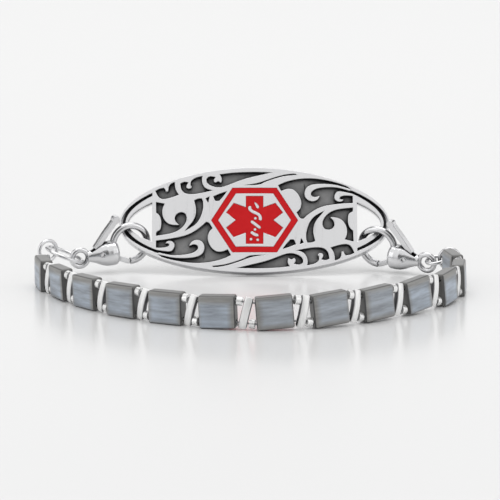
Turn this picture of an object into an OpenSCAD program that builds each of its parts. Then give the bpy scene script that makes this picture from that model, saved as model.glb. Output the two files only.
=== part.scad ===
/* [Tag] */
// length of the tag, end to end (mm)
tag_length = 38.9; // [37:0.1:41]
// height of the tag along its face (mm)
tag_height = 16; // [15:0.1:17]
// thickness of the tag (mm)
tag_thickness = 1.2; // [1.1:0.05:1.4]
// radius on which the tag's face is bowed, its ends going back (mm)
tag_bow = 130; // [110:5:200]
// lean of the tag backward from upright (degrees)
tag_lean = 30; // [25:1:33]
// depth of the cast recesses (mm)
relief_depth = 0.45; // [0.3:0.05:0.6]
// depth of the enamel cells (mm)
cell_depth = 0.4; // [0.3:0.05:0.5]
// width of the bright rim outside the groove, at the tag's tips (mm)
rim_tip = 0.24; // [0.2:0.01:0.3]
// width of the bright rim outside the groove, toward the tag's sides (mm)
rim_side = 0.85; // [0.7:0.01:0.9]
// width of the dark groove at the tag's tips (mm)
groove_tip = 0.64; // [0.5:0.01:0.66]
// width of the dark groove toward the tag's sides (mm)
groove_side = 0.35; // [0.3:0.01:0.45]
// exponent of the outline: 2 is an ellipse, lower is more pointed
outline_power = 1.92; // [1.85:0.01:2.1]
// reach of the end slots as a share of the tag's half length
slot_reach = 0.935; // [0.92:0.005:0.94]
// height of the end slots' curve as a share of the half height
slot_height = 0.66; // [0.58:0.01:0.7]
// straight inner side of the slots, as a share of the half length
slot_side = 0.757; // [0.75:0.001:0.765]

/* [Emblem] */
// width of the hexagonal enamel ring over its corners (mm)
hexagon_width = 12.5; // [12:0.1:12.8]
// height of the hexagonal ring over its flats (mm)
hexagon_height = 9.85; // [9.6:0.05:10]
// width of the enamel band (mm)
hexagon_band = 0.88; // [0.8:0.02:0.94]
// height of the six-armed star (mm)
star_height = 7.3; // [6.9:0.05:7.4]
// clearance round every enamel piece (mm)
enamel_gap = 0.03; // [0.02:0.01:0.05]

/* [Strand] */
// width of a glass tile along the strand (mm)
tile_width = 5.0; // [4.9:0.05:5.05]
// height of a glass tile (mm)
tile_height = 4.45; // [4.4:0.05:4.7]
// thickness of a glass tile (mm)
tile_thickness = 1.9; // [1.7:0.05:2]
// corner radius of a tile (mm)
tile_round = 0.35; // [0.2:0.05:0.5]
// diameter of the two holes through a tile (mm)
tile_hole = 0.8; // [0.8:0.05:0.9]
// distance between the two thread rows (mm)
row_spacing = 2.9; // [2.8:0.05:3]
// distance from one tile's middle to the next (mm)
tile_pitch = 7.55; // [7.5:0.05:7.6]
// diameter of a curved silver bar bead (mm)
bar_diameter = 1.12; // [1:0.02:1.14]
// length of a bar bead from end to end (mm)
bar_length = 4.25; // [4.1:0.05:4.3]
// radius on which the bar beads are bowed (mm)
bar_bow = 8; // [7:0.5:10]
// slant of the bar beads from upright (degrees)
bar_slant = 17; // [14:1:18]
// diameter of the small cylinder beads (mm)
spacer_diameter = 1.25; // [1.1:0.05:1.3]
// length of the small cylinder beads (mm)
spacer_length = 0.74; // [0.6:0.02:0.8]
// thickness of the beading thread (mm)
thread_size = 0.24; // [0.2:0.02:0.26]

/* [Clasps] */
// radius of the claw, to the middle of its wire (mm)
claw_radius = 2.6; // [2.58:0.01:2.64]
// thickness of the claw (mm)
claw_wire = 0.84; // [0.76:0.02:0.84]
// distance from the eyelet to the middle of the claw (mm)
clasp_reach = 7.75; // [7.75:0.01:7.8]
// radius of the eyelet, to the middle of its wire (mm)
eyelet_radius = 1.2; // [1.15:0.05:1.25]
// thickness of the eyelet's wire (mm)
eyelet_wire = 0.6; // [0.5:0.05:0.6]
// largest radius of the clasp's body (mm)
body_radius = 1.74; // [1.7:0.01:1.8]
// thickness of the lever plate (mm)
lever_plate = 0.8; // [0.7:0.05:0.85]
// clearance between the lever and the body (mm)
lever_gap = 0.12; // [0.1:0.01:0.15]
// diameter of the lever's pin (mm)
pin_diameter = 0.6; // [0.5:0.05:0.65]
// clearance of the lever on its pin (mm)
pin_gap = 0.05; // [0.04:0.01:0.07]

/* [Rings] */
// radius of the upright end rings, to the middle of the wire (mm)
end_ring_radius = 1.45; // [1.4:0.05:1.5]
// radius of the left jump ring, to the middle of the wire (mm)
left_jump_radius = 2.7; // [2.65:0.05:2.75]
// radius of the right jump ring, to the middle of the wire (mm)
right_jump_radius = 1.3; // [1.25:0.05:1.35]
// thickness of the ring wire (mm)
ring_wire = 0.5; // [0.4:0.05:0.55]

/* [Hidden] */
$fn = 48;
half_l = tag_length / 2;
half_h = tag_height / 2;
through = 1; // how far a cut runs past the face that it opens

// the box of the whole bracelet is centred on the origin by this shift
place = [-0.015, 8.433, 0];
// foot of the tag on the ground, and the tag's two ends
tag_foot = [0.66, 6.9, 0];
left_tip = tag_foot[0] - half_l;
right_tip = tag_foot[0] + half_l;
// middle of the strand's first tile
strand_start = [left_tip - 10.12, -2.9];
// heading of each tile along the strand, left end to right end (degrees)
tile_heading = [-77, -66, -53, -40, -28, -15, 3, 21, 37, 49, 66, 84, 102];
// direction from each tile's middle to the next one's (degrees)
run_heading = [-67.8, -58.8, -47.8, -37.2, -25.4, -7.3, 15, 32.5, 43.1, 54.6, 72.2, 93.4];
// lean of each tile, top to the left (degrees)
tile_lean = [0, 3.5, 2, 1.5, 0.7, 2.6, 5, 6, 5, 8, 5, 2, 0];

// [middle of the eyelet, turn about upright, rise of the claw, lean to the front]
left_clasp_place = [[left_tip - 5.54, 7.59, 2.38], 20.3, 12.5, 4.4];
right_clasp_place = [[right_tip + 5.12, 6.82, 1.89], 24.8, 12.8, 9.8];
// [middle of the ring, turn of its plane about upright]
left_end_place = [[left_tip - 9.96, 5, 3.95], 36];
right_end_place = [[right_tip + 8.39, 6.4, 2.5], -5];
// [middle of the ring, tip of its axis from upright, turn of that axis]
left_jump_place = [[left_tip - 7.69, 6.27, 3.18], 22, 5];
right_jump_place = [[right_tip + 6.39, 6.5, 2.3], 14, 225];

// Curves
function unit(v) = v / norm(v);
function turned(a) = [cos(a), sin(a)];
function power_point(a, b, p, t) = let (c = cos(t), s = sin(t))
  [a * sign(c) * pow(abs(c), 2 / p), b * sign(s) * pow(abs(s), 2 / p)];
function oval(a, b, steps = 96) =
  [for (i = [0:steps - 1]) power_point(a, b, outline_power, 360 * i / steps)];
// rounds the corners of a loop of [x, y, sharp] points, keeping those marked sharp
function between(p, q, t) = [p[0] + (q[0] - p[0]) * t, p[1] + (q[1] - p[1]) * t, 0];
function softened(pts, rounds) = rounds == 0 ? pts : softened([for (i = [0:len(pts) - 1])
  let (p = pts[i], q = pts[(i + 1) % len(pts)])
  each concat([p[2] == 1 ? p : between(p, q, 0.25)], q[2] == 1 ? [] : [between(p, q, 0.75)])], rounds - 1);
function scaled(pts) = [for (p = softened(pts, 2)) [p[0] * half_l, p[1] * half_h]];
// outline of a stroke of even width along a line of points
function side(pts, w) = [for (i = [0:len(pts) - 1]) let (
  a = i > 0 ? unit(pts[i] - pts[i - 1]) : unit(pts[1] - pts[0]),
  b = i < len(pts) - 1 ? unit(pts[i + 1] - pts[i]) : a,
  m = unit(a + b)) pts[i] + [-m[1], m[0]] * w / 2 / (m * a)];
function back(pts) = [for (i = [len(pts) - 1:-1:0]) pts[i]];
function stroke(pts, w) = concat(side(pts, w), back(side(pts, -w)));
function round_rect(w, h, r) = [for (q = [[1, 1, 0], [-1, 1, 90], [-1, -1, 180], [1, -1, 270]])
  for (k = [0:3]) [q[0] * (w / 2 - r), q[1] * (h / 2 - r)] + r * turned(q[2] + 30 * k)];

// Tag
// loops of [share of the half length, share of the half height, 1 for a sharp corner]
top_sliver = [[-0.075, 0.664, 1], [0.015, 0.668, 0], [0.048, 0.685, 0], [0.09, 0.745, 0], [0.208, 0.84, 0],
  [0.276, 0.86, 0], [0.313, 0.868, 1], [0.304, 0.886, 1], [0.276, 0.89, 0], [0.205, 0.862, 0], [0.105, 0.78, 0],
  [0.04, 0.715, 0], [-0.005, 0.69, 0]];
upper_left = [[-0.735, 0.59, 1], [-0.705, 0.63, 0], [-0.673, 0.645, 1], [-0.66, 0.61, 0], [-0.657, 0.57, 0],
  [-0.638, 0.57, 0], [-0.638, 0.635, 0], [-0.63, 0.7, 0], [-0.608, 0.735, 0], [-0.59, 0.745, 1],
  [-0.59, 0.655, 0], [-0.58, 0.575, 0], [-0.56, 0.505, 1], [-0.603, 0.465, 0], [-0.655, 0.43, 0],
  [-0.69, 0.43, 0], [-0.715, 0.48, 0]];
upper_mid = [[-0.55, 0.717, 1], [-0.52, 0.752, 0], [-0.49, 0.732, 1], [-0.505, 0.677, 0], [-0.505, 0.627, 0],
  [-0.48, 0.607, 0], [-0.462, 0.642, 0], [-0.475, 0.682, 0], [-0.473, 0.757, 0], [-0.44, 0.822, 0],
  [-0.385, 0.852, 1], [-0.392, 0.782, 0], [-0.383, 0.677, 0], [-0.358, 0.602, 0], [-0.31, 0.572, 1],
  [-0.36, 0.542, 0], [-0.45, 0.502, 0], [-0.515, 0.517, 0], [-0.545, 0.607, 0]];
upper_wedge = [[-0.36, 0.778, 0], [-0.347, 0.823, 0], [-0.325, 0.846, 0], [-0.288, 0.823, 1],
  [-0.3, 0.788, 0], [-0.304, 0.743, 0], [-0.288, 0.713, 0], [-0.272, 0.753, 0], [-0.248, 0.713, 1],
  [-0.24, 0.798, 0], [-0.258, 0.875, 1], [-0.17, 0.905, 0], [-0.02, 0.92, 0], [0.13, 0.91, 1],
  [0.02, 0.845, 0], [-0.1, 0.77, 0],
  [-0.2, 0.663, 0], [-0.255, 0.623, 0], [-0.305, 0.638, 0], [-0.348, 0.698, 0]];
hexagon_notch = [[-0.305, 0.455, 1], [-0.255, 0.51, 0], [-0.205, 0.55, 1], [-0.228, 0.465, 0],
  [-0.262, 0.37, 1], [-0.29, 0.36, 0]];
small_notch = [[-0.362, 0.42, 1], [-0.333, 0.455, 1], [-0.338, 0.38, 0], [-0.345, 0.34, 1]];
left_curl = [[-0.73, 0.375, 1], [-0.665, 0.34, 1], [-0.681, 0.255, 0], [-0.683, 0.145, 0],
  [-0.67, 0.04, 0], [-0.64, -0.045, 0], [-0.597, -0.075, 0], [-0.556, -0.075, 1], [-0.582, -0.015, 0],
  [-0.592, 0.06, 0], [-0.577, 0.14, 0], [-0.542, 0.175, 0], [-0.508, 0.14, 0], [-0.499, 0.045, 0],
  [-0.512, -0.06, 0], [-0.55, -0.16, 0], [-0.608, -0.23, 0], [-0.727, -0.27, 1], [-0.727, -0.19, 0],
  [-0.695, -0.16, 0], [-0.689, -0.055, 0], [-0.69, 0.04, 0], [-0.705, 0.13, 0], [-0.727, 0.17, 1]];
mid_crescent = [[-0.447, 0.388, 1], [-0.415, 0.423, 0], [-0.388, 0.418, 1], [-0.378, 0.308, 0],
  [-0.382, 0.203, 0], [-0.402, 0.038, 0], [-0.44, -0.087, 0], [-0.515, -0.192, 1], [-0.483, -0.092, 0],
  [-0.452, -0.002, 0], [-0.434, 0.113, 0], [-0.432, 0.243, 0]];
lower_left = [[-0.727, -0.36, 1], [-0.62, -0.335, 0], [-0.493, -0.275, 0], [-0.41, -0.15, 0],
  [-0.358, -0.03, 1], [-0.335, -0.04, 0], [-0.31, -0.15, 1], [-0.34, -0.225, 0], [-0.348, -0.36, 0],
  [-0.325, -0.5, 0], [-0.29, -0.59, 0], [-0.245, -0.605, 0], [-0.197, -0.558, 1], [-0.174, -0.665, 1],
  [-0.23, -0.735, 0], [-0.332, -0.8, 0], [-0.462, -0.81, 0], [-0.62, -0.735, 0], [-0.727, -0.63, 0]];
left_scroll = [[-0.76, -0.485, 1], [-0.695, -0.5, 0], [-0.647, -0.49, 0], [-0.625, -0.45, 0],
  [-0.638, -0.415, 0], [-0.659, -0.42, 1], [-0.645, -0.375, 0], [-0.61, -0.375, 0], [-0.588, -0.435, 0],
  [-0.594, -0.52, 0], [-0.616, -0.58, 0], [-0.675, -0.56, 0], [-0.76, -0.52, 1]];
right_scroll = [[-0.76, -0.55, 1], [-0.675, -0.61, 0], [-0.605, -0.65, 0], [-0.515, -0.645, 0],
  [-0.45, -0.61, 0], [-0.415, -0.54, 0], [-0.418, -0.47, 0], [-0.447, -0.445, 0], [-0.482, -0.48, 1],
  [-0.468, -0.4, 0], [-0.43, -0.36, 0], [-0.39, -0.39, 0], [-0.368, -0.47, 0], [-0.372, -0.58, 0],
  [-0.392, -0.655, 0], [-0.44, -0.7, 0], [-0.525, -0.71, 0], [-0.605, -0.695, 0], [-0.685, -0.64, 0],
  [-0.76, -0.59, 1]];

// [x, y] corners in shares of the half width and half height of the hexagon
function hexagon(w, h, flat) =
  [[w / 2, 0], [flat, h / 2], [-flat, h / 2], [-w / 2, 0], [-flat, -h / 2], [flat, -h / 2]];
flat_share = 0.51; // half of the hexagon's flat, as a share of its half width
flat_outer = hexagon_width / 2 * flat_share;
slope = (hexagon_width / 2 - flat_outer) / (hexagon_height / 2);
inner_w = hexagon_width - 2 * hexagon_band * sqrt(1 + slope * slope);
inner_h = hexagon_height - 2 * hexagon_band;
flat_inner = inner_w / 2 - slope * inner_h / 2;

// quarter of the star in shares of its half height: [x, y]
star_quarter = [[0.345, 1], [0.345, 0.53], [0.82, 0.715], [1.12, 0.315], [0.74, 0]];
function flipped(pts, x, y) = [for (p = pts) [x * p[0], y * p[1]]];
star_half = concat(star_quarter, back(flipped([for (i = [0:3]) star_quarter[i]], 1, -1)));
star_outline = star_height / 2 * concat(star_half, flipped(star_half, -1, -1));

// the serpent on the star, in shares of the star's half height: its head, the middle lines of its
// coils, and the ends of coils that show as spots
serpent_head = [[-0.02, 0.77, 0], [0.08, 0.69, 0], [0.18, 0.58, 0], [0.16, 0.48, 0], [0.09, 0.48, 0],
  [0.03, 0.61, 0]];
serpent_coils = [
  [[-0.19, 0.58], [-0.19, 0.45], [-0.1, 0.355], [0.055, 0.285], [0.185, 0.21], [0.23, 0.1], [0.22, -0.02]],
  [[-0.14, -0.05], [0.04, -0.19], [0.23, -0.345]],
  [[-0.14, -0.49], [-0.025, -0.6], [0.15, -0.655]]];
serpent_spots = [[0.03, 0.065], [0.015, -0.4], [-0.14, -0.805], [0.12, -0.83]];
coil_width = 0.12;
spot_width = 0.12;

module drawn(pts, rounds) {
  polygon([for (p = softened(pts, rounds)) [p[0], p[1]] * star_height / 2]);
}

module serpent() {
  drawn(serpent_head, 1);
  for (line = serpent_coils) drawn([for (p = stroke(line, coil_width)) [p[0], p[1], 0]], 1);
  for (spot = serpent_spots) drawn([for (a = [0:60:300]) let (q = spot + spot_width / 2 * turned(a))
    [q[0], q[1], 0]], 0);
}

module groove_band() {
  difference() {
    polygon(oval(half_l - rim_tip, half_h - rim_side));
    polygon(oval(half_l - rim_tip - groove_tip, half_h - rim_side - groove_side));
    translate([-slot_side * half_l, 0]) square([tag_length * 2, tag_height]);
    translate([-0.71 * half_l, -tag_height]) square([tag_length * 2, tag_height * 2]);
  }
}

module half_recesses() {
  groove_band();
  for (loop = [top_sliver, upper_left, upper_mid, upper_wedge, hexagon_notch, small_notch, left_curl,
    mid_crescent]) polygon(scaled(loop));
  difference() {
    polygon(scaled(lower_left));
    polygon(scaled(left_scroll));
    polygon(scaled(right_scroll));
  }
}

module end_slot() {
  intersection() {
    polygon(oval(slot_reach * half_l, slot_height * half_h));
    translate([-half_l, -half_h]) square([half_l * (1 - slot_side), tag_height]);
  }
}

module on_tag() {
  translate(place + tag_foot + [0, half_h * sin(tag_lean), half_h * cos(tag_lean)])
    rotate([90 - tag_lean, 0, 0]) children();
}

// the bowed body of the tag from its back up to a depth below its face
module bowed(depth) {
  translate([0, tag_height, tag_thickness - tag_bow]) rotate([90, 0, 0])
    cylinder(r = tag_bow - depth, h = 2 * tag_height, $fn = 360);
}

// a shape that stands through the tag
module upright() {
  translate([0, 0, -tag_height / 2]) linear_extrude(tag_height) children();
}

module id_tag() {
  color("silver") on_tag() difference() {
    intersection() {
      upright() polygon(oval(half_l, half_h));
      bowed(0);
    }
    bowed(tag_thickness);
    for (turn = [0, 180]) rotate(turn) {
      difference() {
        upright() half_recesses();
        bowed(relief_depth);
      }
      upright() end_slot();
    }
    difference() {
      upright() {
        difference() {
          polygon(hexagon(hexagon_width, hexagon_height, flat_outer));
          polygon(hexagon(inner_w, inner_h, flat_inner));
        }
        difference() {
          polygon(star_outline);
          serpent();
        }
      }
      bowed(cell_depth);
    }
  }
}

// one enamel filling: its outline between the bottom of its cell and the tag's face
module filling() {
  color("red") on_tag() difference() {
    intersection() {
      upright() children();
      bowed(enamel_gap);
    }
    bowed(cell_depth - enamel_gap);
  }
}

module emblem_ring() {
  filling() difference() {
    offset(delta = -enamel_gap) polygon(hexagon(hexagon_width, hexagon_height, flat_outer));
    offset(delta = enamel_gap) polygon(hexagon(inner_w, inner_h, flat_inner));
  }
}

module emblem_star() {
  filling() difference() {
    offset(delta = -enamel_gap) polygon(star_outline);
    offset(delta = enamel_gap) serpent();
  }
}

// Strand
tiles = len(tile_heading);
gap = tile_pitch - tile_width;
mid_z = tile_height / 2;
function tile_spot(i) = i == 0 ? strand_start
  : tile_spot(i - 1) + tile_pitch * turned(run_heading[i - 1]);
// height of a tile's middle when its lowest corner touches the ground
function tile_rise(i) = mid_z * cos(tile_lean[i]) + sin(tile_lean[i])
  * (tile_width * abs(cos(tile_heading[i])) + tile_thickness * abs(sin(tile_heading[i]))) / 2;
function tile_mid(i) = let (p = tile_spot(i)) [p[0], p[1], tile_rise(i)];
// a direction in a tile, [along the strand, upward], as it stands
function in_tile(i, x, z) = let (t = tile_heading[i], a = tile_lean[i])
  [x * cos(t) * cos(a) - z * sin(a), x * sin(t), x * cos(t) * sin(a) + z * cos(a)];
function hole_end(i, s, r) = tile_mid(i) + in_tile(i, s * tile_width / 2, r * row_spacing / 2);
// point on the run of thread from one tile to the next, at a distance from the middle of the gap
function on_run(i, r, from_mid) = let (a = hole_end(i, 1, r), b = hole_end(i + 1, -1, r))
  (a + b) / 2 + unit(b - a) * from_mid;

// a straight rod from p to q, longer by more at both ends
module rod(p, q, d, more, sides) {
  v = q - p;
  translate(place + p) rotate([0, atan2(norm([v[0], v[1]]), v[2]), atan2(v[1], v[0])])
    translate([0, 0, -more]) cylinder(d = d, h = norm(v) + 2 * more, $fn = sides);
}

module tile_bead(i) {
  color("slategray") translate(place + tile_mid(i)) rotate([0, -tile_lean[i], 0])
    rotate([0, 0, tile_heading[i]]) difference() {
      intersection() {
        rotate([90, 0, 0]) translate([0, 0, -tile_thickness])
          linear_extrude(2 * tile_thickness) polygon(round_rect(tile_width, tile_height, tile_round));
        translate([0, 0, -tile_height]) linear_extrude(2 * tile_height)
          polygon(round_rect(tile_width, tile_thickness, tile_round));
      }
      for (s = [-1, 1]) translate([-tile_width, 0, s * row_spacing / 2])
        rotate([0, 90, 0]) cylinder(d = tile_hole, h = 2 * tile_width);
    }
}

bow_angle = bar_length / bar_bow * 180 / PI; // angle that a bar bead spans on its bow
bar_out = 0.25; // middle of a bar bead outward of the threads
bar_hole = 0.46; // holes across a bar bead for the threads
bar_shift = row_spacing / 2 * tan(bar_slant); // crossing of a thread from the middle of its gap

module bar_bead(i) {
  top = on_run(i, 1, bar_shift);
  foot = on_run(i, -1, -bar_shift);
  up = unit(top - foot);
  along = unit(on_run(i, 1, gap) + on_run(i, -1, gap) - on_run(i, 1, 0) - on_run(i, -1, 0));
  inward = unit(cross(up, along));
  across = cross(inward, up);
  m = place + (top + foot) / 2 - bar_out * inward;
  color("silver") difference() {
    multmatrix([for (k = [0:2]) [across[k], inward[k], up[k], m[k]]])
      rotate([0, 0, -90]) rotate([90, 0, 0]) translate([-bar_bow, 0, 0]) rotate([0, 0, -bow_angle / 2])
        rotate_extrude(angle = bow_angle) translate([bar_bow, 0]) circle(d = bar_diameter);
    for (p = [top, foot]) rod(p, p + along * gap / 2, bar_hole, gap / 2, 24);
  }
}

spacer_hole = 0.53; // bore of the small cylinder beads
bead_gap = 0.05; // clearance between a small bead and its tile

module spacer(p, q) {
  difference() {
    rod(p, q, spacer_diameter, 0, 32);
    rod(p, q, spacer_hole, through, 24);
  }
}

module spacer_beads() {
  color("gainsboro") {
    for (i = [0:tiles - 2]) for (r = [-1, 1]) {
      // above beside the left tile and below beside the right one, square to the thread
      edge = hole_end(r == 1 ? i : i + 1, r, r);
      run = r * unit(hole_end(i + 1, -1, r) - hole_end(i, 1, r));
      tilt = acos(run * in_tile(r == 1 ? i : i + 1, r, 0));
      start = bead_gap + spacer_diameter / 2 * tan(tilt);
      spacer(edge + run * start, edge + run * (start + spacer_length));
    }
    for (e = [[0, -1], [tiles - 1, 1]]) for (r = [-1, 1]) {
      edge = hole_end(e[0], e[1], r);
      run = in_tile(e[0], e[1], 0);
      spacer(edge + run * bead_gap, edge + run * (bead_gap + spacer_length));
    }
  }
}

row_run = spacer_length + 0.25; // straight run of the threads past the last tiles
loop_radius = 0.75; // radius of the thread's loop round an end ring
overlap = 0.05; // by which the thread's straight runs go into each other
function row_line(r) = concat([hole_end(0, -1, r) - in_tile(0, row_run, 0)],
  [for (i = [0:tiles - 1]) for (s = [-1, 1]) hole_end(i, s, r)],
  [hole_end(tiles - 1, 1, r) + in_tile(tiles - 1, row_run, 0)]);

module end_loop(top, foot, ring) {
  to = ring[0] - [0, 0, end_ring_radius];
  v = [to[0] - top[0], to[1] - top[1]];
  line = concat([[-0.1, top[2]], [0.15, top[2]]],
    [for (a = [75:-30:-75]) [norm(v), to[2]] + loop_radius * turned(a)],
    [[0.15, foot[2]], [-0.1, foot[2]]]);
  translate(place + [top[0], top[1], 0]) rotate([90, 0, atan2(v[1], v[0])])
    translate([0, 0, -thread_size / 2]) linear_extrude(thread_size) polygon(stroke(line, thread_size));
}

module thread() {
  upper = row_line(1);
  lower = row_line(-1);
  color("white") union() {
    for (line = [upper, lower]) for (k = [0:len(line) - 2])
      rod(line[k], line[k + 1], thread_size, overlap, 8);
    end_loop(upper[0], lower[0], left_end_place);
    end_loop(upper[len(upper) - 1], lower[len(lower) - 1], right_end_place);
  }
}

// Clasps
pivot = [3.1, -0.1]; // middle of the lever's pin from the eyelet
body_drop = 7; // slope of the body below the line from the eyelet to the claw (degrees)
// [radius as a share of the body radius, distance from the eyelet along the body]
body_profile = [[0, 1.1], [0.4, 1.1], [0.43, 1.5], [0.6, 2.3], [0.83, 3.1], [0.965, 3.8], [1, 4.6],
  [0.98, 5.2], [0.86, 5.5], [0, 5.5]];
claw_root = 160; // angle at which the claw leaves the body
claw_end = -100; // angle at which the claw's tip stops
gate_reach = 4.6; // length of the gate from the pin
gate_turn = -31.5; // direction of the gate from the pin (degrees)
gate_bar = 0.6; // width of the gate
thumb_line = [pivot, [2.75, 0.9], [4.33, 2.42], [6.3, 4.1]]; // middle of the thumb arm
thumb_bar = 0.75; // width of the thumb arm
thumb_pad = 0.55; // radius of the rounded end of the thumb arm
knuckle = 0.72; // radius of the lever round its pin
knuckle_room = 0.18; // space round the knuckle inside the body
// openings in the body for the thumb arm and for the gate's swing, from the pin
thumb_room = [[-0.95, -0.1], [-1.45, 0.6], [-1.9, 1.6], [-1.9, 3.2], [1.6, 3.2], [1.25, 1.5], [0.95, 0]];
gate_room = [[0, -0.5], [3, -2.34], [3, 0.2], [0, 0.75]];
pin_seat = 0.02; // clearance of the pin in the body's walls
pin_length = 2.7;

module clasp_shape() {
  difference() {
    union() {
      rotate_extrude() translate([eyelet_radius, 0]) circle(d = eyelet_wire);
      rotate([0, 0, -body_drop]) rotate([0, 90, 0]) rotate_extrude()
        polygon([for (p = body_profile) [p[0] * body_radius, p[1]]]);
      translate([clasp_reach, 0, 0]) rotate([0, 0, claw_end])
        rotate_extrude(angle = claw_root - claw_end) translate([claw_radius, 0]) circle(d = claw_wire);
    }
    translate([pivot[0], pivot[1], -lever_plate / 2 - lever_gap]) {
      cylinder(r = knuckle + knuckle_room, h = lever_plate + 2 * lever_gap);
      linear_extrude(lever_plate + 2 * lever_gap) polygon(thumb_room);
      linear_extrude(lever_plate + 2 * lever_gap) polygon(gate_room);
    }
    translate([pivot[0], pivot[1], -body_radius])
      cylinder(d = pin_diameter + 2 * pin_seat, h = 2 * body_radius);
  }
}

module lever_shape() {
  translate([0, 0, -lever_plate / 2]) difference() {
    union() {
      translate(pivot) cylinder(r = knuckle, h = lever_plate);
      linear_extrude(lever_plate) polygon(stroke(thumb_line, thumb_bar));
      translate(thumb_line[3]) cylinder(r = thumb_pad, h = lever_plate);
      linear_extrude(lever_plate) polygon(stroke([pivot, pivot + gate_reach * turned(gate_turn)], gate_bar));
    }
    translate([pivot[0], pivot[1], -through])
      cylinder(d = pin_diameter + 2 * pin_gap, h = lever_plate + 2 * through);
  }
}

module pin_shape() {
  translate([pivot[0], pivot[1], -pin_length / 2]) cylinder(d = pin_diameter, h = pin_length);
}

module at_clasp(p) {
  translate(p[0]) rotate([90 + p[3], -p[2], p[1]]) children();
}

module left_side() { translate(place) at_clasp(left_clasp_place) children(); }
module right_side() {
  q = right_clasp_place;
  translate(place) translate(q[0]) mirror([1, 0, 0]) rotate([90 + q[3], -q[2], q[1]]) children();
}

module clasp_left() { color("silver") left_side() clasp_shape(); }
module lever_left() { color("gainsboro") left_side() lever_shape(); }
module pin_left() { color("gray") left_side() pin_shape(); }
module clasp_right() { color("silver") right_side() clasp_shape(); }
module lever_right() { color("gainsboro") right_side() lever_shape(); }
module pin_right() { color("gray") right_side() pin_shape(); }

// Rings
module wire_ring(r) {
  rotate_extrude() translate([r, 0]) circle(d = ring_wire);
}

module end_ring(p) { translate(place + p[0]) rotate([90, 0, p[1]]) wire_ring(end_ring_radius); }
module end_ring_left() { color("silver") end_ring(left_end_place); }
module end_ring_right() { color("silver") end_ring(right_end_place); }
module jump_ring(p, r) { translate(place + p[0]) rotate([0, p[1], p[2]]) wire_ring(r); }
module jump_ring_left() { color("silver") jump_ring(left_jump_place, left_jump_radius); }
module jump_ring_right() { color("silver") jump_ring(right_jump_place, right_jump_radius); }

module tile_bead_01() { tile_bead(0); }
module tile_bead_02() { tile_bead(1); }
module tile_bead_03() { tile_bead(2); }
module tile_bead_04() { tile_bead(3); }
module tile_bead_05() { tile_bead(4); }
module tile_bead_06() { tile_bead(5); }
module tile_bead_07() { tile_bead(6); }
module tile_bead_08() { tile_bead(7); }
module tile_bead_09() { tile_bead(8); }
module tile_bead_10() { tile_bead(9); }
module tile_bead_11() { tile_bead(10); }
module tile_bead_12() { tile_bead(11); }
module tile_bead_13() { tile_bead(12); }
module bar_bead_01() { bar_bead(0); }
module bar_bead_02() { bar_bead(1); }
module bar_bead_03() { bar_bead(2); }
module bar_bead_04() { bar_bead(3); }
module bar_bead_05() { bar_bead(4); }
module bar_bead_06() { bar_bead(5); }
module bar_bead_07() { bar_bead(6); }
module bar_bead_08() { bar_bead(7); }
module bar_bead_09() { bar_bead(8); }
module bar_bead_10() { bar_bead(9); }
module bar_bead_11() { bar_bead(10); }
module bar_bead_12() { bar_bead(11); }

id_tag();
emblem_ring();
emblem_star();
tile_bead_01();
tile_bead_02();
tile_bead_03();
tile_bead_04();
tile_bead_05();
tile_bead_06();
tile_bead_07();
tile_bead_08();
tile_bead_09();
tile_bead_10();
tile_bead_11();
tile_bead_12();
tile_bead_13();
bar_bead_01();
bar_bead_02();
bar_bead_03();
bar_bead_04();
bar_bead_05();
bar_bead_06();
bar_bead_07();
bar_bead_08();
bar_bead_09();
bar_bead_10();
bar_bead_11();
bar_bead_12();
spacer_beads();
thread();
clasp_left();
lever_left();
pin_left();
clasp_right();
lever_right();
pin_right();
end_ring_left();
end_ring_right();
jump_ring_left();
jump_ring_right();
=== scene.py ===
import math

import bmesh
import bpy
from mathutils import Matrix, Vector


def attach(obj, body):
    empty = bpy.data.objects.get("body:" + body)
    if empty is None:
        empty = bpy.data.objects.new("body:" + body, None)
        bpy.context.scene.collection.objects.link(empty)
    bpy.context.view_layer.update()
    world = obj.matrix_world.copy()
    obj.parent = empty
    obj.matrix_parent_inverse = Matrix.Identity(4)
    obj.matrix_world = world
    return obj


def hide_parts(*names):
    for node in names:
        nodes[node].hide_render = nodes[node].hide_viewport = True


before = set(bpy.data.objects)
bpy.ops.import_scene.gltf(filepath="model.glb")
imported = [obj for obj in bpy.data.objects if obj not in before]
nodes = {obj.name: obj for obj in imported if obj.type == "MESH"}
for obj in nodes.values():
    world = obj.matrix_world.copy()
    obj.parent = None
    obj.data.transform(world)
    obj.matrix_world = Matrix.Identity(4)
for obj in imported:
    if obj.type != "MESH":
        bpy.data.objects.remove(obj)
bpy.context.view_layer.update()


# Viewpoint
# A long lens about half a metre in front of the strand, looking 11 degrees down at the
# middle of the tag, as a jewellery picture is taken.
MM = 0.001
PLACE = Vector((-0.015, 8.433, 0)) * MM  # middle of the layout, seen from above
AIM = PLACE + Vector((0, 0, 4.99)) * MM
DOWN = math.radians(10.7)
AWAY = 0.5

camera = bpy.data.objects.new("camera", bpy.data.cameras.new("camera"))
bpy.context.scene.collection.objects.link(camera)
camera.data.sensor_width = 36
camera.data.lens = 255.6
camera.data.clip_start, camera.data.clip_end = 0.05, 5
camera.location = AIM + AWAY * Vector((0, -math.cos(DOWN), math.sin(DOWN)))
camera.rotation_euler = (math.pi / 2 - DOWN, 0, 0)
bpy.context.scene.camera = camera


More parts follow.
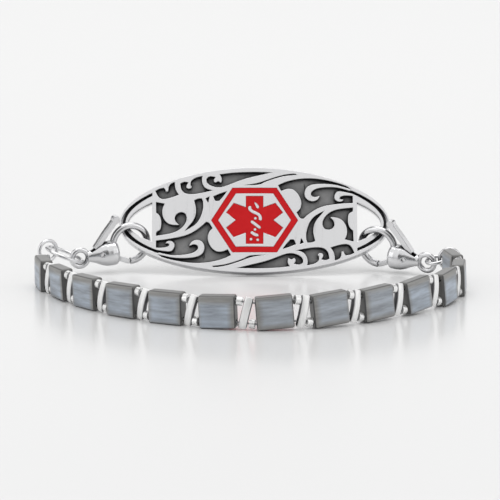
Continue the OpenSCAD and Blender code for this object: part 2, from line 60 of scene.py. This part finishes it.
# Tag
# The oval identity tag is cast stainless steel, polished on its raised scrolls and rim and
# blackened in its recesses. It leans back on its lower edge, held up by the two clasps.
TAG_LEAN = math.radians(30)
TAG_FACE = Vector((0, -math.cos(TAG_LEAN), math.sin(TAG_LEAN)))
TAG_UP = Vector((0, TAG_FACE.z, -TAG_FACE.y))
TAG_SIZE = Vector((38.9, 16.0)) * MM
TAG_THICK = 1.2 * MM
TAG_BOW = 130 * MM
TAG_MIDDLE = 0.66
TAG_FOOT = PLACE + Vector((TAG_MIDDLE, 6.9, 0)) * MM
# depths below the face: the blackening starts and is full, and the recesses' floors end
BLACK_STARTS, BLACK_FULL = 0.08 * MM, 0.3 * MM
FLOOR_HIGH, FLOOR_LOW = 0.5 * MM, 0.6 * MM
RIM_SIDE = (0.972, 0.984)  # share of the oval's reach where the rim's outer side begins
EVEN_FACE = (0.985, 0.99)  # how squarely a strip faces front or back to count as the broad face


def new_material(name):
    made = bpy.data.materials.new(name)
    made.use_nodes = True
    made.node_tree.nodes.clear()
    return made, made.node_tree


def add(tree, kind, **values):
    node = tree.nodes.new(kind)
    for key, value in values.items():
        if key in node.bl_rna.properties:
            setattr(node, key, value)
        else:
            node.inputs[key.replace("_", " ")].default_value = value
    return node


def link(tree, *pairs):
    for source, target in pairs:
        tree.links.new(source, target)


def surface(tree, **values):
    shader = add(tree, "ShaderNodeBsdfPrincipled", **values)
    out = add(tree, "ShaderNodeOutputMaterial")
    link(tree, (shader.outputs[0], out.inputs["Surface"]))
    return shader


def grain(tree, stretch, detail=4, rough=0.6):
    """A noise over the piece, in its own coordinates per millimetre."""
    where = add(tree, "ShaderNodeTexCoord")
    scale = add(tree, "ShaderNodeMapping")
    scale.inputs["Scale"].default_value = [s / MM for s in stretch]
    noise = add(tree, "ShaderNodeTexNoise", Scale=1.0, Detail=detail, Roughness=rough)
    link(tree, (where.outputs["Object"], scale.inputs["Vector"]), (scale.outputs[0], noise.inputs["Vector"]))
    return noise.outputs["Fac"]


def ranged(tree, source, low, high, from_low=0.0, from_high=1.0):
    node = add(tree, "ShaderNodeMapRange")
    node.inputs["From Min"].default_value = from_low
    node.inputs["From Max"].default_value = from_high
    node.inputs["To Min"].default_value = low
    node.inputs["To Max"].default_value = high
    link(tree, (source, node.inputs["Value"]))
    return node.outputs["Result"]


def blended(tree, amount, first, second):
    """Mixes two colours, or two sockets, by a socket."""
    node = add(tree, "ShaderNodeMix", data_type="RGBA")
    for value, socket in ((first, node.inputs[6]), (second, node.inputs[7])):
        if isinstance(value, tuple):
            socket.default_value = value
        else:
            link(tree, (value, socket))
    link(tree, (amount, node.inputs[0]))
    return node.outputs[2]


def tag_steel():
    made, tree = new_material("tag_steel_look")
    shader = surface(tree, Metallic=1.0)
    where = add(tree, "ShaderNodeTexCoord")
    # height above the tag's back, with the bow of the tag taken out of it
    from_foot = add(tree, "ShaderNodeVectorMath", operation="SUBTRACT")
    from_foot.inputs[1].default_value = TAG_FOOT
    height = add(tree, "ShaderNodeVectorMath", operation="DOT_PRODUCT")
    height.inputs[1].default_value = TAG_FACE
    parts = add(tree, "ShaderNodeSeparateXYZ")
    square = add(tree, "ShaderNodeMath", operation="MULTIPLY")
    level = add(tree, "ShaderNodeMath", operation="MULTIPLY_ADD")
    level.inputs[1].default_value = 0.5 / TAG_BOW
    link(tree, (where.outputs["Object"], from_foot.inputs[0]), (from_foot.outputs[0], height.inputs[0]),
         (from_foot.outputs[0], parts.inputs[0]), (parts.outputs["X"], square.inputs[0]),
         (parts.outputs["X"], square.inputs[1]), (square.outputs[0], level.inputs[0]),
         (height.outputs["Value"], level.inputs[2]))
    sunk = ranged(tree, level.outputs[0], 1.0, 0.0, TAG_THICK - BLACK_FULL, TAG_THICK - BLACK_STARTS)
    above_floor = ranged(tree, level.outputs[0], 0.0, 1.0, TAG_THICK - FLOOR_LOW, TAG_THICK - FLOOR_HIGH)
    # the rim's outer side is polished too
    rise = add(tree, "ShaderNodeVectorMath", operation="DOT_PRODUCT")
    rise.inputs[1].default_value = TAG_UP
    across = ranged(tree, parts.outputs["X"], -1.0, 1.0, -TAG_SIZE.x / 2, TAG_SIZE.x / 2)
    upward = ranged(tree, rise.outputs["Value"], -1.0, 1.0, 0.0, TAG_SIZE.y)
    oval = add(tree, "ShaderNodeCombineXYZ")
    reach = add(tree, "ShaderNodeVectorMath", operation="LENGTH")
    link(tree, (from_foot.outputs[0], rise.inputs[0]), (across, oval.inputs["X"]), (upward, oval.inputs["Y"]),
         (oval.outputs[0], reach.inputs[0]))
    inside = ranged(tree, reach.outputs["Value"], 1.0, 0.0, *RIM_SIDE)
    cell = add(tree, "ShaderNodeMath", operation="MULTIPLY")
    dark = add(tree, "ShaderNodeMath", operation="MULTIPLY")
    link(tree, (sunk, cell.inputs[0]), (above_floor, cell.inputs[1]), (cell.outputs[0], dark.inputs[0]),
         (inside, dark.inputs[1]))
    # painted shade: the recesses' floors are painted darker near their walls, where the ambient occlusion finds
    # the walls close; the mottle over it is the blackening's own
    near = add(tree, "ShaderNodeAmbientOcclusion", samples=8)
    near.inputs["Distance"].default_value = 1.6 * MM
    shade = ranged(tree, near.outputs["AO"], 0.0, 1.0, 0.62, 0.97)
    mottle = grain(tree, (1.5, 1.5, 1.5))
    floor = blended(tree, shade, (0.01, 0.01, 0.011, 1), (0.3, 0.3, 0.3, 1))
    mottled_and_shaded_recess = blended(tree, ranged(tree, mottle, 0.0, 0.3, 0.35, 0.75), floor, (0.1, 0.1, 0.105, 1))
    colour = blended(tree, dark.outputs[0], (0.72, 0.72, 0.73, 1), mottled_and_shaded_recess)
    link(tree, (colour, shader.inputs["Base Color"]))
    fine = grain(tree, (6, 6, 6))
    rough = blended(tree, dark.outputs[0], (0.26, 0.26, 0.26, 1), (0.55, 0.55, 0.55, 1))
    link(tree, (rough, shader.inputs["Roughness"]))
    # the broad faces keep the even curve of the bow, whatever strips they are made of
    bowed = add(tree, "ShaderNodeVectorMath", operation="MULTIPLY_ADD")
    bowed.inputs[1].default_value = (1 / TAG_BOW, 0, 0)
    bowed.inputs[2].default_value = TAG_FACE
    shape = add(tree, "ShaderNodeNewGeometry")
    facing = add(tree, "ShaderNodeVectorMath", operation="DOT_PRODUCT")
    turned = add(tree, "ShaderNodeVectorMath", operation="SCALE")
    even = add(tree, "ShaderNodeVectorMath", operation="NORMALIZE")
    both = add(tree, "ShaderNodeMath", operation="ABSOLUTE")
    link(tree, (from_foot.outputs[0], bowed.inputs[0]), (bowed.outputs[0], facing.inputs[0]),
         (shape.outputs["True Normal"], facing.inputs[1]), (bowed.outputs[0], turned.inputs[0]),
         (facing.outputs["Value"], turned.inputs["Scale"]), (turned.outputs[0], even.inputs[0]),
         (facing.outputs["Value"], both.inputs[0]))
    broad = ranged(tree, both.outputs[0], 0.0, 1.0, *EVEN_FACE)
    normal = blended(tree, broad, shape.outputs["Normal"], even.outputs[0])
    bump = add(tree, "ShaderNodeBump", Strength=0.08)
    bump.inputs["Distance"].default_value = 0.02 * MM
    link(tree, (fine, bump.inputs["Height"]), (normal, bump.inputs["Normal"]),
         (bump.outputs[0], shader.inputs["Normal"]))
    return made


def soften(piece, width, weld=0.0):
    """Rounds the sharp edges of a piece by so many millimetres, as polishing does."""
    if weld:
        piece.modifiers.new("weld", "WELD").merge_threshold = weld * MM
    bevel = piece.modifiers.new("edges", "BEVEL")
    bevel.width = width * MM
    bevel.segments = 2
    bevel.limit_method = "ANGLE"
    bevel.angle_limit = math.radians(35)
    bevel.use_clamp_overlap = False
    bevel.harden_normals = True


nodes["id_tag"].data.materials[0] = tag_steel()
soften(nodes["id_tag"], 0.045, weld=0.015)


# Emblem
# Two fillings of opaque red enamel, fired in their cells and ground flush with the steel:
# a hexagonal ring and a six-armed star round the steel serpent.
def red_enamel():
    made, tree = new_material("red_enamel")
    shader = surface(tree, Roughness=0.3)
    shader.inputs["Specular IOR Level"].default_value = 0.12
    cloud = grain(tree, (0.8, 0.8, 0.8))
    colour = blended(tree, cloud, (0.56, 0.007, 0.01, 1), (0.66, 0.016, 0.02, 1))
    link(tree, (colour, shader.inputs["Base Color"]))
    fine = grain(tree, (3, 3, 3), detail=2)
    bump = add(tree, "ShaderNodeBump", Strength=0.1)
    bump.inputs["Distance"].default_value = 0.02 * MM
    link(tree, (fine, bump.inputs["Height"]), (bump.outputs[0], shader.inputs["Normal"]))
    return made


enamel = red_enamel()
for name in ("emblem_ring", "emblem_star"):
    nodes[name].data.materials[0] = enamel
    soften(nodes[name], 0.04)


# Tiles
# Square pressed-glass beads with two bores, satin grey with a cloudy blue-grey middle. They
# stand on edge side by side on the two threads, each leaning a little.
TILE = Vector((5.0, 1.9, 4.45)) * MM
TILE_ROUND = 0.3 * MM
TILE_CROWN = 0.06 * MM
TILE_HOLE = 0.4 * MM
# the clear middle of the broad faces, as shares of the half sizes, and how far it strays
MIDDLE_WIDE, MIDDLE_HIGH = (-0.68, 0.66), (-0.72, 0.5)
MIDDLE_FADE, MIDDLE_STRAYS = 0.3, 0.35 * MM
STREAKS = (170, 170, 1300)  # per metre, so they run level across the face
ROWS = 2.9 * MM  # distance between the two threads
PITCH = 7.55 * MM
STRAND_START = Vector((TAG_MIDDLE - 10.12, -2.9, 0)) * MM - Vector((TAG_SIZE.x / 2, 0, 0))
# how each tile is turned, how the strand runs on from it, and how far it leans, in degrees
HEADING = (-77, -66, -53, -40, -28, -15, 3, 21, 37, 49, 66, 84, 102)
RUN = (-67.8, -58.8, -47.8, -37.2, -25.4, -7.3, 15, 32.5, 43.1, 54.6, 72.2, 93.4)
LEAN = (0, 3.5, 2, 1.5, 0.7, 2.6, 5, 6, 5, 8, 5, 2, 0)


def evaluated(piece):
    """The piece's mesh with its modifiers worked in."""
    seen = piece.evaluated_get(bpy.context.evaluated_depsgraph_get())
    return bpy.data.meshes.new_from_object(seen)


def new_piece(mesh, name="tool"):
    piece = bpy.data.objects.new(name, mesh)
    bpy.context.scene.collection.objects.link(piece)
    return piece


def smooth(mesh):
    mesh.polygons.foreach_set("use_smooth", [True] * len(mesh.polygons))
    return mesh


def round_rod(radius, length, axis, sides=24, middle=(0, 0, 0)):
    body = bmesh.new()
    turn = {"X": Matrix.Rotation(math.pi / 2, 4, "Y"), "Z": Matrix.Identity(4)}[axis]
    bmesh.ops.create_cone(body, cap_ends=True, segments=sides, radius1=radius, radius2=radius, depth=length,
                          matrix=Matrix.Translation(middle) @ turn)
    mesh = bpy.data.meshes.new("rod")
    body.to_mesh(mesh)
    body.free()
    return mesh


def drilled(mesh, rods):
    """The mesh with each rod cut out of it."""
    block = new_piece(mesh)
    tools = [new_piece(rod) for rod in rods]
    for tool in tools:
        cut = block.modifiers.new("cut", "BOOLEAN")
        cut.operation = "DIFFERENCE"
        cut.solver = "EXACT"
        cut.object = tool
    made = evaluated(block)
    for piece in [block] + tools:
        bpy.data.objects.remove(piece)
    return made


def tile_mesh():
    body = bmesh.new()
    bmesh.ops.create_cube(body, size=2)
    bmesh.ops.subdivide_edges(body, edges=body.edges, cuts=13, use_grid_fill=True)
    half = TILE / 2
    core = half - Vector((TILE_ROUND,) * 3)
    for vert in body.verts:
        # more of the grid's lines go to the rounded edges
        p = Vector([math.sin(c * math.pi / 2) for c in vert.co])
        p = Vector([p[k] * half[k] for k in range(3)])
        inner = Vector([max(-core[k], min(core[k], p[k])) for k in range(3)])
        if (p - inner).length > 1e-9:
            p = inner + (p - inner).normalized() * TILE_ROUND
        x, z = p.x / half.x, p.z / half.z
        p.y *= 1 - TILE_CROWN / half.y * (0.35 * x * x + 0.65 * z ** 4)
        vert.co = p
    mesh = bpy.data.meshes.new("tile")
    body.to_mesh(mesh)
    body.free()
    rods = [round_rod(TILE_HOLE, 2 * TILE.x, "X", middle=(0, 0, s * ROWS / 2)) for s in (-1, 1)]
    return smooth(drilled(mesh, rods))


def tile_glass():
    made, tree = new_material("satin_glass")
    shader = surface(tree, Roughness=0.38, IOR=1.52)
    shader.inputs["Coat Weight"].default_value = 0.25
    shader.inputs["Coat Roughness"].default_value = 0.25
    where = add(tree, "ShaderNodeTexCoord")
    info = add(tree, "ShaderNodeObjectInfo")
    # the clear middle is off centre; a dark line of painted shade runs along the broad faces' edges, where they
    # round over
    parts = add(tree, "ShaderNodeSeparateXYZ")
    link(tree, (where.outputs["Object"], parts.inputs[0]))
    own = ranged(tree, info.outputs["Random"], -MIDDLE_STRAYS, MIDDLE_STRAYS)
    past_middle, past_edge = [], []
    for axis, limits, half in (("X", MIDDLE_WIDE, TILE.x / 2), ("Z", MIDDLE_HIGH, TILE.z / 2)):
        strayed = add(tree, "ShaderNodeMath", operation="ADD")
        link(tree, (parts.outputs[axis], strayed.inputs[0]), (own, strayed.inputs[1]))
        for limit, sign in zip(limits, (-1, 1)):
            faded = (limit + MIDDLE_FADE * sign) * half
            past_middle.append(ranged(tree, strayed.outputs[0], 0.0, 1.0, limit * half, faded))
            outer = sign * half
            past_edge.append(ranged(tree, parts.outputs[axis], 0.0, 2.0, 0.93 * outer, 0.99 * outer))

    def largest(sockets):
        first = sockets[0]
        for other in sockets[1:]:
            both = add(tree, "ShaderNodeMath", operation="MAXIMUM")
            link(tree, (first, both.inputs[0]), (other, both.inputs[1]))
            first = both.outputs[0]
        return first

    edge = largest(past_middle)
    line = ranged(tree, largest(past_edge), 0.0, 1.0, 0.3, 1.4)
    # painted shade: the narrow sides, top and bottom of each tile are painted near black, for the shade on them
    side = add(tree, "ShaderNodeMath", operation="ABSOLUTE")
    link(tree, (parts.outputs["Y"], side.inputs[0]))
    front = ranged(tree, side.outputs[0], 0.0, 1.0, 0.3 * TILE.y, 0.44 * TILE.y)
    # streaks and clouds, other ones on each bead
    scale = add(tree, "ShaderNodeMapping")
    scale.inputs["Scale"].default_value = STREAKS
    apart = add(tree, "ShaderNodeVectorMath", operation="SCALE")
    apart.inputs["Scale"].default_value = 37
    link(tree, (info.outputs["Location"], apart.inputs[0]))
    moved = add(tree, "ShaderNodeVectorMath", operation="ADD")
    link(tree, (where.outputs["Object"], scale.inputs["Vector"]), (scale.outputs[0], moved.inputs[0]),
         (apart.outputs[0], moved.inputs[1]))
    cloud = add(tree, "ShaderNodeTexNoise", Scale=1.0, Detail=5.0, Roughness=0.6)
    link(tree, (moved.outputs[0], cloud.inputs["Vector"]))
    wisp = ranged(tree, cloud.outputs["Fac"], 0.0, 1.0, 0.35, 0.65)
    blue = blended(tree, wisp, (0.25, 0.275, 0.31, 1), (0.46, 0.525, 0.61, 1))
    grey = blended(tree, wisp, (0.26, 0.272, 0.285, 1), (0.4, 0.418, 0.442, 1))
    middle = blended(tree, ranged(tree, info.outputs["Random"], 0.5, 1.0, 0.0, 0.6), grey, blue)
    rim = blended(tree, wisp, (0.21, 0.207, 0.2, 1), (0.32, 0.316, 0.304, 1))
    broad = blended(tree, line, blended(tree, edge, middle, rim), (0.05, 0.05, 0.052, 1))
    colour = blended(tree, front, (0.13, 0.129, 0.125, 1), broad)
    link(tree, (colour, shader.inputs["Base Color"]))
    bump = add(tree, "ShaderNodeBump", Strength=0.12)
    bump.inputs["Distance"].default_value = 0.05 * MM
    link(tree, (cloud.outputs["Fac"], bump.inputs["Height"]), (bump.outputs[0], shader.inputs["Normal"]))
    return made


def ahead(degrees):
    return Vector((math.cos(math.radians(degrees)), math.sin(math.radians(degrees)), 0))


def tile_frames():
    """Where each tile stands: a 4x4 with X along the strand and Z upward in the tile."""
    spot = STRAND_START
    frames = []
    for i, (heading, lean) in enumerate(zip(HEADING, LEAN)):
        if i:
            spot = spot + PITCH * ahead(RUN[i - 1])
        turn, tip = math.radians(heading), math.radians(lean)
        reach = TILE.x * abs(math.cos(turn)) + TILE.y * abs(math.sin(turn))
        rise = TILE.z / 2 * math.cos(tip) + math.sin(tip) * reach / 2
        place = PLACE + spot + Vector((0, 0, rise))
        frames.append(Matrix.Translation(place) @ Matrix.Rotation(-tip, 4, "Y") @ Matrix.Rotation(turn, 4, "Z"))
    return frames


glass = tile_glass()
tiles = tile_frames()
tile_shape = tile_mesh()
tile_shape.materials.append(glass)
for i, where in enumerate(tiles):
    tile = new_piece(tile_shape, f"glass_tile_{i + 1:02d}")
    tile.matrix_world = where
    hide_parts(f"tile_bead_{i + 1:02d}")
    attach(tile, "bracelet")


# Bar and cylinder beads
# Short tubes of silver-plated brass. The bars are bowed, brushed lengthwise and cross-drilled
# for both threads; a small cylinder bead fills the room above and below each one.
def plated_silver(name, along, roughness, tint, half_width=None):
    """Silver plate with brushing; half_width paints shade on the sides of a bar, darker from there outward."""
    made, tree = new_material(name)
    shader = surface(tree, Metallic=0.55)
    lines = grain(tree, along, detail=3)
    colour = blended(tree, ranged(tree, lines, 0.0, 1.0, 0.3, 0.7), tint, (0.97, 0.97, 0.96, 1))
    # painted shade: the sides of a bar are darkened towards its edges
    if half_width:
        where = add(tree, "ShaderNodeTexCoord")
        parts = add(tree, "ShaderNodeSeparateXYZ")
        aside = add(tree, "ShaderNodeMath", operation="ABSOLUTE")
        link(tree, (where.outputs["Object"], parts.inputs[0]), (parts.outputs["X"], aside.inputs[0]))
        colour = blended(tree, ranged(tree, aside.outputs[0], 0.0, 1.0, 0.8 * half_width, 0.95 * half_width),
                         colour, (0.2, 0.2, 0.21, 1))
    rough = ranged(tree, lines, roughness + 0.1, roughness - 0.05, 0.3, 0.7)
    link(tree, (colour, shader.inputs["Base Color"]), (rough, shader.inputs["Roughness"]))
    bump = add(tree, "ShaderNodeBump", Strength=0.25)
    bump.inputs["Distance"].default_value = 0.02 * MM
    link(tree, (lines, bump.inputs["Height"]), (bump.outputs[0], shader.inputs["Normal"]))
    return made


BAR_WIDE, BAR_DEEP, BAR_LONG, BAR_BOW = 1.16 * MM, 0.98 * MM, 4.25 * MM, 8 * MM
BAR_SLANT = math.radians(17)
BAR_HOLE = 0.23 * MM
BAR_FORWARD = 0.25 * MM  # how far the bow brings the bar's middle forward of the threads
BAR_SQUARE = 0.55  # 1 is a round bar, lower is squarer


def bar_mesh():
    """A bowed tube bead, flattened a little at its front, with its ends eased; Z runs along it."""
    body = bmesh.new()
    rings = []
    steps, sides = 14, 28
    for k in range(steps + 1):
        share = 2 * k / steps - 1
        angle = share * BAR_LONG / 2 / BAR_BOW
        small = 1 - 0.1 * max(0.0, abs(share) - 0.9) / 0.1
        ring = []
        for m in range(sides):
            t = 2 * math.pi * m / sides
            c, q = math.cos(t), math.sin(t)
            x = BAR_WIDE / 2 * small * math.copysign(abs(c) ** BAR_SQUARE, c)
            y = BAR_DEEP / 2 * small * math.copysign(abs(q) ** BAR_SQUARE, q)
            far = BAR_BOW - y
            ring.append(body.verts.new((x, BAR_BOW - far * math.cos(angle), far * math.sin(angle))))
        rings.append(ring)
    for one, two in zip(rings, rings[1:]):
        for m in range(sides):
            body.faces.new((one[m], one[(m + 1) % sides], two[(m + 1) % sides], two[m]))
    body.faces.new(list(reversed(rings[0])))
    body.faces.new(rings[-1])
    mesh = bpy.data.meshes.new("bar")
    body.to_mesh(mesh)
    body.free()
    return mesh


def run_point(i, row, off):
    """A point on the thread from tile i to the next, off the middle of the gap."""
    one = tiles[i] @ Vector((TILE.x / 2, 0, row * ROWS / 2))
    two = tiles[i + 1] @ Vector((-TILE.x / 2, 0, row * ROWS / 2))
    return (one + two) / 2 + (two - one).normalized() * off


cross = ROWS / 2 * math.tan(BAR_SLANT)
brushed = plated_silver("brushed_silver", (5, 5, 0.7), 0.42, (0.88, 0.88, 0.88, 1), BAR_WIDE / 2)
for i in range(len(tiles) - 1):
    top, foot = run_point(i, 1, cross), run_point(i, -1, -cross)
    up = (top - foot).normalized()
    along = (run_point(i, 1, 1) + run_point(i, -1, 1) - run_point(i, 1, 0) - run_point(i, -1, 0)).normalized()
    inward = up.cross(along).normalized()
    stand = Matrix((inward.cross(up), inward, up)).transposed().to_4x4()
    stand.translation = (top + foot) / 2 - BAR_FORWARD * inward
    back = stand.inverted()
    rods = []
    for spot in (top, foot):
        rod = round_rod(BAR_HOLE, 4 * MM, "X", sides=16)
        rod.transform(back @ Matrix.Translation(spot) @ along.to_track_quat("X", "Z").to_matrix().to_4x4())
        rods.append(rod)
    shape = drilled(bar_mesh(), rods)
    shape.materials.clear()
    shape.materials.append(brushed)
    bar = new_piece(smooth(shape), f"silver_bar_{i + 1:02d}")
    bar.matrix_world = stand
    soften(bar, 0.05)
    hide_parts(f"bar_bead_{i + 1:02d}")
    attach(bar, "bracelet")
bright = plated_silver("bright_silver", (2, 2, 2), 0.2, (0.82, 0.82, 0.82, 1))
nodes["spacer_beads"].data.materials[0] = bright
soften(nodes["spacer_beads"], 0.09)


# Thread
# Waxed nylon beading thread in two rows, strung through the bores of all the beads. Past the
# last tile at each end the two rows come together in a loop, tied round the end ring.
def beading_thread():
    made, tree = new_material("waxed_thread")
    shader = surface(tree, Roughness=0.6)
    fibre = grain(tree, (9, 9, 9), detail=2)
    colour = blended(tree, fibre, (0.38, 0.385, 0.39, 1), (0.6, 0.61, 0.62, 1))
    link(tree, (colour, shader.inputs["Base Color"]))
    bump = add(tree, "ShaderNodeBump", Strength=0.5)
    bump.inputs["Distance"].default_value = 0.03 * MM
    link(tree, (fibre, bump.inputs["Height"]), (bump.outputs[0], shader.inputs["Normal"]))
    return made


nodes["thread"].data.materials[0] = beading_thread()


# Clasps
# Lobster clasps cast in brass, silver-plated and tumbled bright. Each lever swings on a pin
# through the body, and its gate opens inward, away from the claw's tip.
def cast_soft(piece, grid, passes, fuller):
    """Melts the sharp joins of a cast piece into each other, and gives back what that takes off."""
    melt = piece.modifiers.new("cast", "REMESH")
    melt.mode = "VOXEL"
    melt.voxel_size = grid * MM
    melt.use_smooth_shade = True
    ease = piece.modifiers.new("tumbled", "SMOOTH")
    ease.factor = 0.5
    ease.iterations = passes
    fill = piece.modifiers.new("full", "DISPLACE")
    fill.strength = fuller * MM
    fill.mid_level = 0


def tumbled_silver():
    made, tree = new_material("tumbled_silver")
    shader = surface(tree, Metallic=1.0)
    marks = grain(tree, (3, 3, 3), detail=5)
    # painted shade: the metal is painted darker where the ambient occlusion finds other parts close by, in
    # eyelets, slots and joins
    near = add(tree, "ShaderNodeAmbientOcclusion", samples=8)
    near.inputs["Distance"].default_value = 1.2 * MM
    open_to_light = ranged(tree, near.outputs["AO"], 0.0, 1.0, 0.35, 0.9)
    polished = blended(tree, marks, (0.66, 0.66, 0.67, 1), (0.78, 0.78, 0.79, 1))
    colour = blended(tree, open_to_light, (0.12, 0.12, 0.125, 1), polished)
    rough = ranged(tree, marks, 0.14, 0.28, 0.3, 0.7)
    link(tree, (colour, shader.inputs["Base Color"]), (rough, shader.inputs["Roughness"]))
    bump = add(tree, "ShaderNodeBump", Strength=0.06)
    bump.inputs["Distance"].default_value = 0.03 * MM
    link(tree, (marks, bump.inputs["Height"]), (bump.outputs[0], shader.inputs["Normal"]))
    return made


plated = tumbled_silver()
for side in ("left", "right"):
    for name in ("clasp", "lever", "pin"):
        nodes[f"{name}_{side}"].data.materials[0] = plated
    cast_soft(nodes[f"clasp_{side}"], 0.05, 5, 0.09)
    cast_soft(nodes[f"lever_{side}"], 0.04, 3, 0.05)
    soften(nodes[f"pin_{side}"], 0.06)


# Rings
# Round wire rings: a soldered ring at each end of the strand, and an open jump ring that
# joins it to its clasp's eyelet.
for name in ("end_ring_left", "end_ring_right", "jump_ring_left", "jump_ring_right"):
    nodes[name].data.materials[0] = plated


# Floor and light
# A pale glossy board stands in a white tent, under a large soft light and with weaker ones
# at both sides. The tent is open at the front, where the camera looks in.
def pale_board():
    made, tree = new_material("pale_board")
    shader = surface(tree, Roughness=0.2)
    shader.inputs["Base Color"].default_value = (0.8, 0.8, 0.8, 1)
    return made


board = bmesh.new()
bmesh.ops.create_grid(board, x_segments=1, y_segments=1, size=3)
board_mesh = bpy.data.meshes.new("board")
board.to_mesh(board_mesh)
board.free()
board_mesh.materials.append(pale_board())
floor = new_piece(board_mesh, "board")


def softbox(name, place, aim, width, height, power):
    lamp = bpy.data.lights.new(name, "AREA")
    lamp.shape = "RECTANGLE"
    lamp.size, lamp.size_y = width, height
    lamp.energy = power
    piece = bpy.data.objects.new(name, lamp)
    bpy.context.scene.collection.objects.link(piece)
    piece.location = place
    piece.rotation_euler = (Vector(aim) - Vector(place)).to_track_quat("-Z", "Y").to_euler()
    return piece


softbox("top_light", (0, 0.2, 0.9), (0, 0.1, 0), 0.7, 0.5, 2.0)
softbox("left_light", (-0.6, -0.3, 0.3), (0, 0, 0), 0.3, 0.5, 0.25)
softbox("right_light", (0.6, -0.3, 0.3), (0, 0, 0), 0.3, 0.5, 0.25)

# white tent all round, with the darker room showing through its opening at the front
world = bpy.data.worlds.new("studio")
bpy.context.scene.world = world
world.use_nodes = True
tent = world.node_tree
way = add(tent, "ShaderNodeTexCoord")
ahead_of = add(tent, "ShaderNodeVectorMath", operation="DOT_PRODUCT")
ahead_of.inputs[1].default_value = (0, -0.99, 0.14)
link(tent, (way.outputs["Generated"], ahead_of.inputs[0]))
opening = ranged(tent, ahead_of.outputs["Value"], 0.0, 1.0, 0.8, 0.93)
room = blended(tent, opening, (0.98, 0.98, 0.98, 1), (0.16, 0.16, 0.16, 1))
# a dark card stands behind the bracelet at each side, which draws the metal's outlines
aside = add(tent, "ShaderNodeSeparateXYZ")
width = add(tent, "ShaderNodeMath", operation="ABSOLUTE")
link(tent, (way.outputs["Generated"], aside.inputs[0]), (aside.outputs["X"], width.inputs[0]))
card = add(tent, "ShaderNodeMath", operation="MULTIPLY")
card_end = add(tent, "ShaderNodeMath", operation="MULTIPLY")
link(tent, (ranged(tent, width.outputs[0], 0.0, 1.0, 0.4, 0.46), card.inputs[0]),
     (ranged(tent, width.outputs[0], 1.0, 0.0, 0.66, 0.74), card.inputs[1]),
     (card.outputs[0], card_end.inputs[0]),
     (ranged(tent, aside.outputs["Y"], 0.0, 1.0, 0.1, 0.3), card_end.inputs[1]))
lit = blended(tent, card_end.outputs[0], room, (0.12, 0.12, 0.12, 1))
link(tent, (lit, tent.nodes["Background"].inputs["Color"]))
bpy.context.scene.view_settings.view_transform = "Standard"
